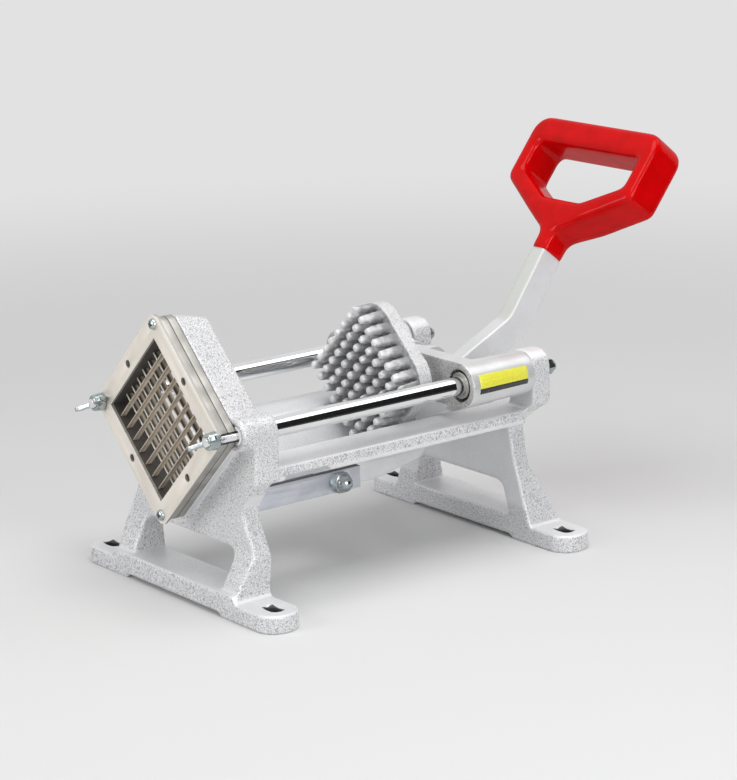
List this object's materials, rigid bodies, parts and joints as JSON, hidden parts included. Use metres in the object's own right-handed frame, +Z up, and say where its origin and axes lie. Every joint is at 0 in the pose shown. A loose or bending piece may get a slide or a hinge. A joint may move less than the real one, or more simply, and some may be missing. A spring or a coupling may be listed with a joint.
{
  "type": "french fry cutter",
  "caption": "Bench-top lever press that pushes a potato along two guide rods through a diamond-set grid of blades to cut square sticks.",
  "frame": {"origin": "on the bench, midway between the four foot holes", "axes": "X across the machine, +Y from the blade grid toward the lever, +Z up"},
  "size_m": [0.214, 0.4177, 0.2634],
  "materials": {
    "hammertone_casting": "hammertone powder coat on cast aluminium",
    "bright_casting": "smooth bright coat on cast aluminium",
    "pusher_casting": "satin cast aluminium",
    "lever_casting": "smooth satin coat on cast aluminium",
    "stainless_plate": "brushed stainless sheet",
    "frame_metal": "machined and polished",
    "blade_steel": "ground stainless strip",
    "rod_chrome": "hard chrome plate",
    "zinc_fastener": "bright zinc plate",
    "bushing_metal": "sintered bearing metal",
    "link_steel": "drawn steel bar",
    "red_vinyl": "glossy dipped vinyl",
    "label_film": "printed vinyl film, plain bands"
  },
  "bodies": {
    "frame": {"front_frame": "hammertone_casting", "bed": "hammertone_casting", "rear_frame": "hammertone_casting", "cover_plate": "stainless_plate", "blade_frame_front": "frame_metal", "blade_frame_rear": "frame_metal", "blades_front": "blade_steel", "blades_rear": "blade_steel", "cartridge_screws": "zinc_fastener", "guide_rod_left": "rod_chrome", "guide_rod_right": "rod_chrome", "rod_washers": "zinc_fastener", "rod_acorn_nuts": "zinc_fastener"},
    "wing_nut_left": {"wing_nut_left": "zinc_fastener"},
    "wing_nut_right": {"wing_nut_right": "zinc_fastener"},
    "carriage": {"carriage_casting": "bright_casting", "rod_bushings": "bushing_metal", "pusher_block": "pusher_casting", "pusher_screws": "zinc_fastener", "lever_pivot_bolt": "zinc_fastener", "lever_pivot_nut": "zinc_fastener", "carriage_label": "label_film"},
    "lever": {"lever_casting": "lever_casting", "hand_grip": "red_vinyl"},
    "links": {"link_bar_left": "link_steel", "link_bar_right": "link_steel", "link_washers": "zinc_fastener", "link_rear_bolt": "zinc_fastener", "link_rear_nut": "zinc_fastener", "link_front_bolt": "zinc_fastener", "link_front_nut": "zinc_fastener"}
  },
  "joints": [
    {"name": "carriage_slide", "type": "slide", "parent": "frame", "child": "carriage", "axis": [0, -1, 0], "range_m": [0, 0.154]},
    {"name": "lever_swing", "type": "hinge", "parent": "carriage", "child": "lever", "pos_m": [0, 0.0735, 0.121], "axis": [1, 0, 0], "range_deg": [0, 93.15]},
    {"name": "link_swing", "type": "hinge", "parent": "lever", "child": "links", "pos_m": [0, -0.0091, 0.055], "axis": [1, 0, 0], "range_deg": [-101.92, 0]},
    {"name": "wing_nut_left_turn", "type": "hinge", "parent": "frame", "child": "wing_nut_left", "pos_m": [-0.0646, -0.146, 0.1194], "axis": [0, 1, 0], "continuous": true},
    {"name": "wing_nut_right_turn", "type": "hinge", "parent": "frame", "child": "wing_nut_right", "pos_m": [0.0646, -0.146, 0.1194], "axis": [0, 1, 0], "continuous": true}
  ],
  "couplings": [
    {"joint": "lever_swing", "follows": "carriage_slide", "rad_per_m": 10.555},
    {"joint": "link_swing", "follows": "carriage_slide", "rad_per_m": -11.549}
  ]
}
